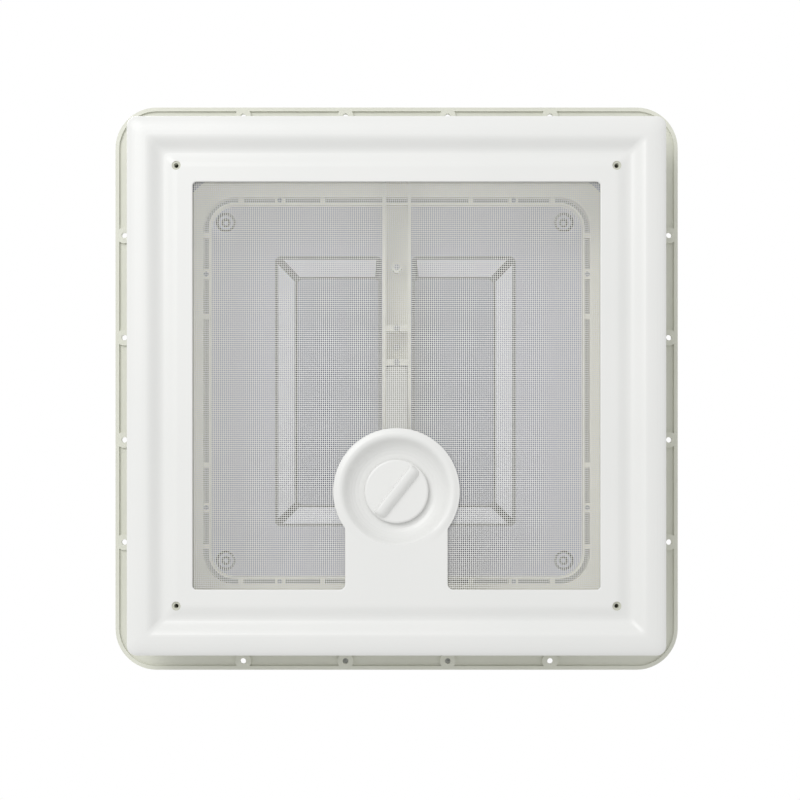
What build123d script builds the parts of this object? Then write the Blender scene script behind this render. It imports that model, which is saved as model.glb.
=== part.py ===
from build123d import *
import math
import os

# Roof vent for a 14 inch square roof opening, with a lid raised by a knob.
# +Z points out of the roof, and Z = 0 is the roof surface under the flange.
# The hinge and the knob are on the +Y side, and the lid opens at the -Y side.

# ---------------------------------------------------------------- driving dimensions (mm)
# Base: a flange on the roof, and a square tube that is curb above it and neck below it.
flange_width = 48.8
flange_corner = 33.0
flange_top = 4.5
flange_plate = 2.5
rim_width = 3.0
neck_half = 176.5
neck_wall = 3.0
neck_corner = 8.0
neck_bottom = -36.0
curb_top = 30.0
curb_lip_out = 5.5
curb_lip = 3.0
edge_inset = 7.0
screw_near = 41.0
screw_far = 123.0
screw_hole = 2.25
screw_boss = 6.5
trim_boss_inset = 5.5
trim_boss = 5.0
trim_boss_tall = 34.0
trim_pilot = 1.6
trim_pilot_deep = 16.0
seal_height = 3.7
seal_width = 6.0
seal_round = 1.4

# Interior trim: a moulded frame, with a tongue that ends in the knob's cup.
trim_overlap = 33.0
trim_corner = 7.5
trim_ceiling = -38.0
trim_crown = -50.0
trim_face_rise = 3.5
trim_wall = 2.5
window_half = 158.4
window_corner = 3.5
shoulder_rise = 5.5
crown_in = 15.0
cove_in = 28.5
cove_rise = 5.8
bead_in = 39.5
bead_back = 4.5
upstand_top = -20.0
upstand_wall = 2.5
upstand_gap = 2.5
upstand_corner = 24.0
trim_screw_hole = 2.0
trim_screw_sink = 3.5
trim_screw_deep = 1.4
knob_inset = 91.5
cup_radius = 49.2
cup_rim_rise = 1.0
cup_rim_width = 9.0
cup_floor_rise = 13.5
cup_draft = 1.6
cup_wall = 2.3
cup_hole = 5.0
tongue_half = 39.7
screen_overlap = 5.0
screen_thick = 0.4
screen_gap = 0.7

# Lid: a dome over a ribbed perimeter frame, with a rail down its middle.
lid_overhang = 23.5
lid_corner = 36.0
lid_bottom = 12.0
lid_top = 50.0
lid_shoulder = 10.0
lid_wall = 2.5
panel_rise = 10.0
land_half = 13.5
panel_x = 99.0
panel_y = 110.0
panel_slope = 17.8
panel_draft = 2.0
panel_corner = 6.0
disc_place = 140.0
disc_radius = 7.4
disc_core = 3.0
disc_step = 2.5
frame_corner = 45.0
frame_seat = 1.5
frame_gap = 0.3
frame_band = 2.5
frame_wall = 2.0
band_width = 19.3
channel_width = 4.3
inner_wall = 1.6
inner_rise = 1.0
rib_width = 4.0
rib_rise = 2.0
rib_near = 61.0
rib_far = 128.0
frame_screw = 96.0
frame_boss_width = 8.0
frame_boss_rise = 3.0
rail_half = 11.5
rail_wall = 2.5
rail_web = 2.5
rail_bottom = 22.5
rail_end_gap = 2.0
rail_fit = 0.4
bar_width = 5.0
bar_rise = 2.0
bar_places = (-50.5, -22.7)
rail_boss_y = -101.0
rail_boss = 4.2
rail_boss_rise = 7.5
rail_hole_y = -36.6

# Hinge: a pin through two ears on the flange and the barrel of the lid's hinge arm.
hinge_back = 12.0
hinge_z = 17.0
hinge_pin = 2.5
hinge_barrel = 6.0
barrel_half = 10.0
ear_gap = 0.4
ear_thick = 5.0
heel_length = 12.0
leaf_thick = 6.0
pad_thick = 3.0
pad_top = 34.0
pad_screw_rise = 12.0
pad_screw_apart = 6.0
pin_head = 4.0
pin_head_thick = 1.6

# Lift: the knob turns a worm, a gear sector turns the arm, and rollers push the rail.
lid_open = 50.0
arm_per_lid = 1.70
gear_module = 1.5
gear_teeth = 36
gear_half = 3.5
tooth_thick = 1.95
gear_gap = 1.195
flank_angle = 20.0
worm_radius = 8.0
worm_half = 8.0
worm_end_gap = 2.0
worm_side_gap = 0.9
gear_side_gap = 0.8
shaft_radius = 4.0
shaft_top = 15.0
axle_radius = 4.0
roller_z = 30.0
roller_y = -12.0
roller_radius = 4.0
roller_width = 2.4
roller_pin = 2.0
track_gap = 0.3
run_gap = 0.08
case_half = 14.0
case_front_wall = 2.3
case_back = 18.0
case_roof = 4.0
case_bottom = -30.5
case_wall = 3.0
case_lug = 10.0
case_lug_thick = 3.0
case_screw = 1.5
bush_wall = 1.8
bush_flange = 8.0
cheek_gap = 1.0
cheek_thick = 4.0
cheek_tall = 11.0
arm_hub = 9.0
crotch = 58.0
crotch_web = 8.0
web_tall = 8.0
shank_tall = 11.0
shank_gap = 0.8
shank_flange = 2.5
tip_reach = 6.4
tip_round = 3.0
clip_thick = 1.0
clip_wall = 2.4
bridge_thick = 3.0
bridge_half = 30.0
bridge_front = 22.0
bridge_rib = 8.0
knob_radius = 25.0
knob_plate = 4.8
knob_gap = 0.7
knob_round = 1.6
grip_tall = 5.7
grip_width = 10.5
grip_length = 48.5
grip_angle = -51.7
square_half = 2.9

# ---------------------------------------------------------------- sizes that follow
neck_inner = neck_half - neck_wall
flange_half = neck_half + flange_width
lip_half = neck_half + curb_lip_out
plate_bottom = flange_top - flange_plate
screw_line = flange_half - edge_inset
trim_half = neck_half + trim_overlap
trim_face = trim_crown + trim_face_rise
screen_z = trim_face + trim_wall
trim_screw_place = neck_half - trim_boss_inset
upstand_half = neck_inner - upstand_gap
knob_y = neck_inner - knob_inset
cup_rim = trim_crown + cup_rim_rise
cup_floor = trim_crown + cup_floor_rise
cup_mouth = cup_radius - cup_rim_width
cup_outside = cup_mouth + cup_wall
seal_top = curb_top + seal_height
frame_bottom = seal_top + frame_gap
lid_half = neck_half + lid_overhang
lid_under = lid_top - lid_wall
frame_half = neck_half + frame_seat
channel_out = frame_half - band_width
channel_in = channel_out - channel_width
channel_mid = (channel_in + channel_out) / 2
frame_inner = channel_in - inner_wall
rail_front = -(neck_inner - rail_end_gap)
rail_inner = rail_half - rail_wall
rail_under_web = lid_under - rail_web
bar_low = rail_bottom + bar_rise
hinge_y = lid_half + hinge_back
tooth_pitch = math.pi * gear_module
tooth_step = 360 / gear_teeth
gear_radius = gear_module * gear_teeth / 2
gear_tip = gear_radius + gear_module * 0.87
gear_root = gear_radius - gear_module * 1.2
worm_tip = worm_radius + gear_module * 0.87
worm_root = worm_radius - gear_module * 1.2
worm_space = worm_tip + worm_side_gap
gear_space = gear_tip + gear_gap
axle_y = knob_y + worm_radius + gear_radius
axle_z = case_bottom + case_wall + gear_space
case_top = axle_z + worm_half + worm_end_gap + case_roof
arm_length = math.hypot(axle_y - roller_y, roller_z - axle_z)
arm_rest = math.degrees(math.atan2(roller_z - axle_z, axle_y - roller_y))
case_front = knob_y - worm_space - case_front_wall
case_end = axle_y + case_back
cheek_in = case_half + cheek_gap
cheek_out = cheek_in + cheek_thick
axle_end = cheek_out + 2 * clip_thick
bush_radius = shaft_radius + bush_wall
axle_bush = axle_radius + bush_wall
knob_top = cup_floor - knob_gap
knob_face = knob_top - knob_plate
knob_low = knob_face - grip_tall

SIDES = (-1, 1)
CORNERS = [(sx, sy) for sx in SIDES for sy in SIDES]
BIG = 2 * flange_half
LOW = (Align.CENTER, Align.CENTER, Align.MIN)


# ---------------------------------------------------------------- small helpers
def block(x0, x1, y0, y1, z0, z1):
    """A plain box between two corners."""
    return Pos(x0, y0, z0) * Box(x1 - x0, y1 - y0, z1 - z0, align=Align.MIN)


def rounded_block(half, corner, z0, z1):
    """A square block on the Z axis with rounded upright edges."""
    return Pos(0, 0, z0) * extrude(RectangleRounded(2 * half, 2 * half, corner), z1 - z0)


def square_ring(outer, outer_corner, inner, inner_corner, z0, z1):
    """A square tube on the Z axis."""
    return rounded_block(outer, outer_corner, z0, z1) - rounded_block(inner, inner_corner, z0 - 1, z1 + 1)


def post(radius, x, y, z0, z1):
    """A round post along Z."""
    return Pos(x, y, z0) * Cylinder(radius, z1 - z0, align=LOW)


def tube(outer, inner, x, y, z0, z1):
    """A round tube along Z."""
    return post(outer, x, y, z0, z1) - post(inner, x, y, z0 - 1, z1 + 1)


def bar(radius, y, z, x0, x1):
    """A round bar along X."""
    return Pos(x0, y, z) * Rot(Y=90) * Cylinder(radius, x1 - x0, align=LOW)


def pipe(outer, inner, y, z, x0, x1):
    """A round tube along X."""
    return bar(outer, y, z, x0, x1) - bar(inner, y, z, x0 - 1, x1 + 1)


def yz(points):
    """Points on the YZ plane from (y, z) pairs."""
    return [Vector(0, y, z) for y, z in points]


def along_x(face, x0, x1):
    """A face of the YZ plane, extruded along X from x0 to x1."""
    return Pos(x0, 0, 0) * extrude(face, x1 - x0, dir=(1, 0, 0))


def fuse(shapes):
    """All the shapes as one."""
    return shapes[0].fuse(*shapes[1:])


def cut(shape, tools):
    """The shape without the tools."""
    return shape.cut(*tools)


def pan_screw(head, head_tall, shank, length):
    """A cross-head screw along +Z, with its head's seat at the origin."""
    body = post(head, 0, 0, -head_tall, 0) + post(shank, 0, 0, 0, length)
    arm = head * 0.6
    deep = -head_tall * 0.5
    return cut(body, [
        block(-arm, arm, -0.35, 0.35, -head_tall - 1, deep),
        block(-0.35, 0.35, -arm, arm, -head_tall - 1, deep),
    ])


def save(name, solids):
    """Writes one node's file, from one shape or a list of separate solids."""
    shape = Compound(children=list(solids)) if isinstance(solids, list) else solids
    export_step(shape, f"parts/{name}.step")


# ---------------------------------------------------------------- base
def flange_screw_places():
    """The places of the sixteen roof screws, four along each side."""
    places = []
    for along in (-screw_far, -screw_near, screw_near, screw_far):
        for side in SIDES:
            places += [(along, side * screw_line), (side * screw_line, along)]
    return places


def ear_starts():
    """Where each of the four hinge ears starts along X."""
    gap = barrel_half + ear_gap
    return [side * screw_near + start for side in SIDES for start in (gap, -gap - ear_thick)]


def hinge_ear(x):
    """An ear on the flange, with the hinge pin's hole."""
    low, high = hinge_y - hinge_barrel, hinge_y + hinge_barrel
    ear = block(x, x + ear_thick, low, high, flange_top - 1, hinge_z)
    ear += bar(hinge_barrel, hinge_y, hinge_z, x, x + ear_thick)
    return ear - bar(hinge_pin, hinge_y, hinge_z, x - 1, x + ear_thick + 1)


def case_screw_places():
    """The four lugs that hold the gearbox on the bridge."""
    x = case_half + case_lug / 2
    return [(side * x, y) for side in SIDES for y in (case_front + case_lug, case_end - case_lug / 2)]


def bridge():
    """The shelf that carries the gearbox, from the neck's hinge side."""
    low = case_bottom - bridge_thick
    front = knob_y - bridge_front
    back = neck_inner + neck_wall / 2
    shelf = block(-bridge_half, bridge_half, front, back, low, case_bottom)
    rib = block(bridge_half - neck_wall, bridge_half, front, back, low, case_bottom + bridge_rib)
    shelf = fuse([shelf, rib, mirror(rib, about=Plane.YZ)])
    holes = [post(bush_radius + 0.4, 0, knob_y, low - 1, case_bottom + 1)]
    holes += [post(case_screw, x, y, low - 1, case_bottom + 1) for x, y in case_screw_places()]
    return cut(shelf, holes)


def base_frame():
    rim_corner = flange_corner - rim_width
    lip_corner = neck_corner + curb_lip_out
    rim = square_ring(flange_half, flange_corner, flange_half - rim_width, rim_corner, 0, flange_top - 1)
    bosses = [post(screw_boss, x, y, 0, flange_top - 1) for x, y in flange_screw_places()]
    outside = fuse([
        rounded_block(flange_half, flange_corner, plate_bottom, flange_top),
        rounded_block(neck_half, neck_corner, neck_bottom, curb_top),
        rounded_block(lip_half, lip_corner, curb_top - curb_lip, curb_top),
        rim,
    ] + bosses)
    outside &= rounded_block(flange_half, flange_corner, neck_bottom - 1, curb_top + 1)
    body = outside - rounded_block(neck_inner, neck_corner - neck_wall, neck_bottom - 1, curb_top + 1)
    corners = [(sx * trim_screw_place, sy * trim_screw_place) for sx, sy in CORNERS]
    low = screen_z + frame_gap
    trim_bosses = [post(trim_boss, x, y, low, low + trim_boss_tall) for x, y in corners]
    body = fuse([body, bridge()] + trim_bosses + [hinge_ear(x) for x in ear_starts()])
    holes = [post(trim_pilot, x, y, low - 1, low + trim_pilot_deep) for x, y in corners]
    holes += [post(screw_hole, x, y, -1, flange_top + 1) for x, y in flange_screw_places()]
    return cut(body, holes)


def curb_seal():
    """A rubber strip on the curb's lip, under the lid's frame."""
    mid = (neck_inner + lip_half) / 2
    outer, inner = mid + seal_width / 2, mid - seal_width / 2
    corner = neck_corner + outer - neck_half
    strip = square_ring(outer, corner, inner, corner - seal_width, curb_top, seal_top)
    return fillet(strip.faces().sort_by(Axis.Z)[-1].edges(), seal_round)


# ---------------------------------------------------------------- interior trim
def wave(points, outward):
    """Smooth curves through (y, z) points that lie flat at each one but an upright first or last."""
    curves = []
    for index in range(len(points) - 1):
        start, end = yz(points[index:index + 2])
        leave = Vector(0, outward, 0)
        arrive = Vector(0, outward, 0)
        curves.append(Spline([start, end], tangents=[leave, arrive]))
    return curves


def trim_section():
    """The moulding's section at the -Y side."""
    shoulder = (-trim_half, trim_crown + shoulder_rise)
    crown = (-trim_half + crown_in, trim_crown)
    cove = (-trim_half + cove_in, trim_crown + cove_rise)
    bead = (-trim_half + bead_in, trim_face)
    inner_shoulder = (shoulder[0] + trim_wall, shoulder[1])
    inner_crown = (crown[0], crown[1] + trim_wall)
    inner_cove = (cove[0], cove[1] + trim_wall)
    inner_bead = (bead[0] - bead_back, screen_z)
    down, up = Vector(0, 0, -1), Vector(0, 0, 1)
    inwards, outwards = Vector(0, 1, 0), Vector(0, -1, 0)
    corners = yz([inner_shoulder, (inner_shoulder[0], trim_ceiling), (-trim_half, trim_ceiling), shoulder])
    edge = yz([bead, (-window_half, trim_face), (-window_half, screen_z), inner_bead])
    curves = [Spline(yz([shoulder, crown]), tangents=[down, inwards])]
    curves += wave([crown, cove, bead], 1)
    curves += [Line(a, b) for a, b in zip(edge, edge[1:])]
    curves += wave([inner_bead, inner_cove, inner_crown], -1)
    curves.append(Spline(yz([inner_crown, inner_shoulder]), tangents=[outwards, up]))
    curves += [Line(a, b) for a, b in zip(corners, corners[1:])]
    return make_face(Wire(curves))


def trim_moulding():
    """The four mitred sides of the trim, with rounded corners."""
    side = along_x(trim_section(), -trim_half, trim_half)
    wedge = make_face(Polyline((0, 0), (-BIG, -BIG), (BIG, -BIG), close=True))
    side &= Pos(0, 0, -BIG / 2) * extrude(wedge, BIG)
    body = fuse([Rot(Z=90 * turn) * side for turn in range(4)])
    body &= rounded_block(trim_half, trim_corner, trim_crown - 1, trim_ceiling + 1)
    window = body.edges().filter_by(Axis.Z).filter_by(lambda e: abs(e.center().X) < window_half + 1)
    return fillet(window, window_corner)


def knob_cup():
    """The cup, turned about the knob's axis, with a rounded rim."""
    crest = cup_radius - cup_rim_width / 2
    foot = cup_mouth - cup_draft
    rim = [(cup_radius, trim_face + 0.4), (crest, cup_rim), (cup_mouth, trim_face - 0.4)]
    arc = ThreePointArc(*[Vector(r, 0, z) for r, z in rim])
    path = [(cup_mouth, trim_face - 0.4), (foot, cup_floor), (cup_hole, cup_floor),
            (cup_hole, cup_floor + trim_wall), (cup_outside, cup_floor + trim_wall),
            (cup_outside, screen_z), (cup_radius, screen_z), (cup_radius, trim_face + 0.4)]
    corners = [Vector(r, 0, z) for r, z in path]
    section = make_face(Wire([arc] + [Line(a, b) for a, b in zip(corners, corners[1:])]))
    return Pos(0, knob_y, 0) * revolve(section, Axis.Z)


def trim_ring():
    moulding = trim_moulding()
    upstand = square_ring(upstand_half, upstand_corner, upstand_half - upstand_wall,
                          upstand_corner - upstand_wall, screen_z - 0.5, upstand_top)
    notch = bridge_half + upstand_gap
    upstand -= block(-notch, notch, 0, BIG, screen_z + trim_wall, upstand_top + 1)
    tongue = block(-tongue_half, tongue_half, knob_y, window_half + 1, trim_face, screen_z)
    tongue -= post(cup_outside, 0, knob_y, trim_crown, 0)
    body = fuse([moulding, upstand, tongue, knob_cup()])
    places = [(sx * trim_screw_place, sy * trim_screw_place) for sx, sy in CORNERS]
    holes = [post(trim_screw_hole, x, y, trim_crown, 0) for x, y in places]
    holes += [post(trim_screw_sink, x, y, trim_crown, trim_face + trim_screw_deep) for x, y in places]
    return cut(body, holes)


def insect_screen():
    """The fabric screen behind the window, cut out around the cup and tongue."""
    half = window_half + screen_overlap
    sheet = rounded_block(half, window_corner + screen_overlap, screen_z, screen_z + screen_thick)
    inner = tongue_half - screen_overlap
    return cut(sheet, [
        post(cup_outside + screen_gap, 0, knob_y, screen_z - 1, screen_z + 1),
        block(-inner, inner, knob_y, BIG, screen_z - 1, screen_z + 1),
    ])


# ---------------------------------------------------------------- lid
def raised_panel(side, grow, low, rise):
    """One raised panel: sloped on three sides, and steep beside the middle land."""
    inner = land_half - grow
    outer = panel_x + grow
    ends = [(inner, outer, panel_y + grow), (inner + panel_draft, outer - panel_slope, panel_y + grow - panel_slope)]
    faces = []
    for step, (x0, x1, y) in enumerate(ends):
        place = Pos(side * (x0 + x1) / 2, 0, low + step * rise)
        faces.append(place * RectangleRounded(x1 - x0, 2 * y, panel_corner))
    return loft(faces, ruled=True)


def dome_body(grow):
    """The dome's outline: its inside when grow is 0, and its outside when grow is the wall."""
    half = lid_half - lid_wall + grow
    top = lid_under + grow
    body = rounded_block(half, lid_corner - lid_wall + grow, lid_bottom - (1 if grow == 0 else 0), top)
    body = fillet(body.faces().sort_by(Axis.Z)[-1].edges(), lid_shoulder - lid_wall + grow)
    places = [(sx * disc_place, sy * disc_place) for sx, sy in CORNERS]
    parts = [body] + [raised_panel(side, grow * 0.8, top - 0.01, panel_rise + 0.01) for side in SIDES]
    parts += [post(disc_radius + grow, x, y, top - 1, top + disc_step) for x, y in places]
    parts += [post(disc_core + grow, x, y, top - 1, top + 2 * disc_step) for x, y in places]
    return fuse(parts)


def frame_screw_places():
    """The eight screws in the lid frame's channel."""
    places = []
    for along in (-frame_screw, frame_screw):
        for side in SIDES:
            places += [(along, side * channel_mid), (side * channel_mid, along)]
    return places


def rail_screw_places():
    """Each rail screw's place along Y and its head's seat."""
    seats = [(y, bar_low) for y in bar_places]
    return seats + [(rail_boss_y, rail_bottom + rail_boss_rise), (rail_hole_y, rail_under_web)]


def lid_dome():
    body = dome_body(lid_wall) - dome_body(0)
    tip = lid_under + lid_wall * 0.7
    holes = [post(1.1, x, y, lid_under - 1, tip) for x, y in frame_screw_places()]
    holes += [post(1.3, 0, y, lid_under - 1, tip) for y, _ in rail_screw_places()]
    for side in SIDES:
        holes += [hinge_screw(side * screw_near + dx)[1] for dx in (-pad_screw_apart, pad_screw_apart)]
    return cut(body, holes)


def lid_frame():
    """The ribbed perimeter frame under the dome, which closes on the seal."""
    out_corner = frame_corner - band_width
    in_corner = out_corner - channel_width
    band = square_ring(frame_half, frame_corner, channel_out, out_corner, frame_bottom, frame_bottom + frame_band)
    outer = square_ring(frame_half, frame_corner, frame_half - frame_wall, frame_corner - frame_wall,
                        frame_bottom, lid_under)
    middle = square_ring(channel_out + frame_wall, out_corner + frame_wall, channel_out, out_corner,
                         frame_bottom, lid_under)
    web = square_ring(channel_out + 1, out_corner + 1, channel_in - 1, in_corner - 1,
                      lid_under - frame_wall, lid_under)
    inner = square_ring(channel_in, in_corner, frame_inner, in_corner - inner_wall,
                        frame_bottom + inner_rise, lid_under)
    low, high = channel_in - 0.5, channel_out + 0.5
    ribs = []
    for along in (-rib_far, -rib_near, rib_near, rib_far):
        ribs.append(block(along - rib_width / 2, along + rib_width / 2, low, high,
                          frame_bottom + rib_rise, lid_under))
    for along in (-frame_screw, frame_screw):
        ribs.append(block(along - frame_boss_width / 2, along + frame_boss_width / 2, low, high,
                          frame_bottom + frame_boss_rise, lid_under))
    ribs = [Rot(Z=90 * turn) * rib for turn in range(4) for rib in ribs]
    body = fuse([band, outer, middle, web, inner] + ribs)
    return cut(body, [post(1.1, x, y, frame_bottom - 1, lid_under + 1) for x, y in frame_screw_places()])


def lid_frame_screws():
    seat = frame_bottom + frame_boss_rise
    screw = pan_screw(1.9, 1.3, 1.1, lid_under + lid_wall * 0.6 - seat)
    return [Pos(x, y, seat) * screw for x, y in frame_screw_places()]


def roller_in_lid(angle):
    """The roller axis (y, z) in the closed lid's place, once the lid has opened by angle."""
    turn = math.radians(arm_rest + arm_per_lid * angle)
    ahead = hinge_y - axle_y + arm_length * math.cos(turn)
    above = axle_z - hinge_z + arm_length * math.sin(turn)
    back = math.radians(angle)
    y = hinge_y - ahead * math.cos(back) - above * math.sin(back)
    return y, hinge_z - ahead * math.sin(back) + above * math.cos(back)


def rail_track():
    """The slot that the rollers run in, as a face in the YZ plane."""
    reach = roller_radius + track_gap
    count = 12
    path = [roller_in_lid(lid_open * step / count) for step in range(count + 1)]
    upper, lower = [], []
    for index, (y, z) in enumerate(path):
        before, after = path[max(index - 1, 0)], path[min(index + 1, count)]
        dy, dz = after[0] - before[0], after[1] - before[1]
        size = math.hypot(dy, dz)
        upper.append((y - dz / size * reach, z + dy / size * reach))
        lower.append((y + dz / size * reach, z - dy / size * reach))
    track = make_face(Wire([
        Spline(yz(upper)),
        Line(*yz([upper[-1], lower[-1]])),
        Spline(yz(lower[::-1])),
        Line(*yz([lower[0], upper[0]])),
    ]))
    slot = along_x(track, -rail_half - 1, rail_half + 1)
    ends = [bar(reach, y, z, -rail_half - 1, rail_half + 1) for y, z in (path[0], path[-1])]
    return fuse([slot] + ends)


def lid_rail():
    """A channel under the dome's middle land, with the rollers' track in its walls."""
    back = frame_inner - rail_fit
    body = block(-rail_half, rail_half, rail_front, back, rail_bottom, lid_under)
    body -= block(-rail_inner, rail_inner, rail_front - 1, back + 1, rail_bottom - 1, rail_under_web)
    body -= block(-BIG, BIG, -BIG, -back, frame_bottom - frame_gap, lid_under + 1)
    bars = [block(-rail_half + 1, rail_half - 1, y - bar_width / 2, y + bar_width / 2, bar_low, lid_under - 1)
            for y in bar_places]
    boss = post(rail_boss, 0, rail_boss_y, rail_bottom + rail_boss_rise, lid_under - 1)
    end = block(-rail_half, rail_half, rail_front, rail_front + rail_wall, rail_bottom, frame_bottom - frame_gap)
    body = fuse([body, boss, end] + bars)
    holes = [post(1.3, 0, y, 0, lid_under + 1) for y, _ in rail_screw_places()]
    return cut(body, [rail_track()] + holes)


def rail_screws():
    screws = []
    for y, seat in rail_screw_places():
        length = lid_under + lid_wall * 0.6 - seat
        screws.append(Pos(0, y, seat) * pan_screw(2.4, 1.6, 1.3, length))
    return screws


# ---------------------------------------------------------------- hinge
def hinge_screw(x):
    """One screw from the hinge arm's pad into the skirt, and the hole that it needs."""
    place = Pos(x, lid_half + pad_thick, hinge_z + pad_screw_rise) * Rot(X=90)
    length = pad_thick + lid_wall
    return place * pan_screw(2.4, 1.6, 1.3, length), place * Pos(0, 0, -1) * post(1.3, 0, 0, 0, length + 2)


def hinge_arm(side):
    """A barrel on the pin, a leaf and pad on the skirt, and a heel that covers the screw hole."""
    middle = side * screw_near
    x0, x1 = middle - barrel_half, middle + barrel_half
    low, high = hinge_z - leaf_thick / 2, hinge_z + leaf_thick / 2
    body = bar(hinge_barrel, hinge_y, hinge_z, x0, x1)
    body += block(x0, x1, lid_half, hinge_y + heel_length, low, high)
    body += block(x0, x1, lid_half, lid_half + pad_thick, low, pad_top)
    holes = [bar(hinge_pin + run_gap, hinge_y, hinge_z, x0 - 1, x1 + 1)]
    holes += [hinge_screw(middle + dx)[1] for dx in (-pad_screw_apart, pad_screw_apart)]
    return cut(body, holes)


def hinge_arm_screws():
    return [hinge_screw(side * screw_near + dx)[0]
            for side in SIDES for dx in (-pad_screw_apart, pad_screw_apart)]


def hinge_pin_set(side):
    """A headed pin through both ears, and the push-on clip at its other end."""
    reach = barrel_half + ear_gap + ear_thick
    x0, x1 = side * screw_near - reach, side * screw_near + reach
    tail = x1 + 2 * clip_thick
    pin = bar(hinge_pin, hinge_y, hinge_z, x0, tail)
    pin += bar(pin_head, hinge_y, hinge_z, x0 - pin_head_thick, x0)
    clip = pipe(hinge_pin + clip_wall, hinge_pin, hinge_y, hinge_z, x1 + 0.1, x1 + 0.1 + clip_thick)
    clip -= block(x1, tail + 1, hinge_y - 0.6, hinge_y + 0.6, hinge_z, hinge_z + BIG)
    return pin, clip


# ---------------------------------------------------------------- knob and worm
def knob():
    """A round plate with a raised bar to grip, and a square socket for the shaft."""
    plate = post(knob_radius, 0, 0, knob_face, knob_top)
    plate = fillet(plate.faces().sort_by(Axis.Z)[0].edges(), knob_round)
    grip = Pos(0, 0, knob_low) * extrude(SlotOverall(grip_length, grip_width), grip_tall + 1)
    grip = fillet(grip.faces().sort_by(Axis.Z)[0].edges(), knob_round)
    body = Rot(Z=grip_angle) * (plate + grip)
    socket = square_half + 0.02
    body -= block(-socket, socket, -socket, socket, knob_low + trim_wall, knob_top + 1)
    return Pos(0, knob_y, 0) * body


def worm_start():
    """The thread's lowest height, a whole number of turns from the gap that faces the gear's tooth."""
    return axle_z + tooth_pitch / 4 - math.ceil(worm_half / tooth_pitch) * tooth_pitch


def worm_thread():
    """A right-hand thread whose gap faces the gear's tooth when the lid is closed."""
    start = worm_start()
    slope = math.tan(math.radians(flank_angle))
    outer = tooth_thick / 2 - (worm_tip - worm_radius) * slope
    inner = tooth_thick / 2 + (worm_radius - worm_root + 0.3) * slope
    path = Helix(tooth_pitch, axle_z + worm_half - start, worm_radius)
    section = make_face(Polyline(
        Vector(worm_root - 0.3, 0, -inner), Vector(worm_tip, 0, -outer),
        Vector(worm_tip, 0, outer), Vector(worm_root - 0.3, 0, inner), close=True))
    thread = sweep(section, path=path, is_frenet=True)
    return Pos(0, knob_y, start) * thread


def worm_shaft():
    """The knob's shaft, with the worm, a thrust collar and a square end."""
    core = post(worm_root, 0, knob_y, worm_start() - tooth_pitch / 2, axle_z + worm_half + tooth_thick * 0.8)
    collar = case_bottom + case_wall + 2 * clip_thick + 0.2
    return fuse([
        core + worm_thread(),
        post(shaft_radius, 0, knob_y, knob_top + 0.3, shaft_top),
        post(worm_root, 0, knob_y, collar, collar + 2.5),
        Pos(0, knob_y, 0) * block(-square_half, square_half, -square_half, square_half,
                                  knob_low + trim_wall + 0.3, knob_top + 0.3),
    ])


# ---------------------------------------------------------------- gearbox
def gearbox_half(side):
    """One of the two shells that hold the worm, the gear sector and their bushes."""
    x0, x1 = (0, case_half) if side > 0 else (-case_half, 0)
    shell = block(x0, x1, case_front, case_end, case_bottom, case_top)
    outside = shell.edges().filter_by(Axis.Z).sort_by(Axis.X)
    shell = fillet(outside[-2:] if side > 0 else outside[:2], 3)
    foot = side * (case_half + case_lug)
    for y in (case_front + case_lug, case_end - case_lug / 2):
        lug = block(min(0, foot), max(0, foot), y - case_lug / 2, y + case_lug / 2,
                    case_bottom, case_bottom + case_lug_thick)
        shell += lug
    floor = case_bottom + case_wall
    slot = gear_half + gear_side_gap
    gear_room = bar(gear_space, axle_y, axle_z, -slot, slot)
    gear_room &= block(-slot, slot, case_front, case_end - case_wall - 4, floor - 1, case_top + 1)
    holes = [
        post(worm_space, 0, knob_y, floor, case_top - case_roof),
        gear_room,
        post(bush_radius, 0, knob_y, case_bottom - 1, case_top + 1),
        bar(axle_bush, axle_y, axle_z, -case_half - 1, case_half + 1),
        block(-BIG if side > 0 else 0, 0 if side > 0 else BIG, 0, BIG, -BIG, BIG),
    ]
    holes += [post(case_screw, x, y, case_bottom - 1, case_top) for x, y in case_screw_places()]
    holes += [bar(case_screw, case_end - 3.5, z, -BIG, BIG) for z in case_joint_heights()]
    return cut(shell, holes)


def case_joint_heights():
    """The heights of the two screws that join the shells."""
    return (case_top - 7, case_bottom + 7.5)


def gearbox_joint_screws():
    screw = pan_screw(2.6, 0.9, case_screw, 2 * case_half - 1)
    return [Pos(-case_half, case_end - 3.5, z) * Rot(Y=90) * screw for z in case_joint_heights()]


def gearbox_mount_screws():
    seat = case_bottom + case_lug_thick
    screw = pan_screw(2.8, 1.8, case_screw, case_lug_thick + bridge_thick)
    return [Pos(x, y, seat) * Rot(X=180) * screw for x, y in case_screw_places()]


def shaft_bush_lower():
    floor = case_bottom + case_wall
    sleeve = tube(bush_radius, shaft_radius + run_gap, 0, knob_y, case_bottom, floor + 0.1)
    return sleeve + tube(bush_flange, shaft_radius + run_gap, 0, knob_y, floor, floor + clip_thick)


def thrust_washer():
    low = case_bottom + case_wall + clip_thick + 0.05
    return tube(bush_flange, shaft_radius + run_gap, 0, knob_y, low, low + clip_thick)


def shaft_bush_upper():
    low = case_top - case_roof
    return tube(bush_radius, shaft_radius + run_gap, 0, knob_y, low, case_top)


def axle_bush_part(side):
    near, far = gear_half + gear_side_gap + 0.1, case_half + 0.4
    x0, x1 = (near, far) if side > 0 else (-far, -near)
    return pipe(axle_bush, axle_radius + run_gap, axle_y, axle_z, x0, x1)


# ---------------------------------------------------------------- lift arm
def sector_point(radius, angle):
    """A point of the gear in the YZ plane: 0 points at the worm, and 90 points down."""
    turn = math.radians(angle)
    return axle_y - radius * math.cos(turn), axle_z - radius * math.sin(turn)


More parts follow.
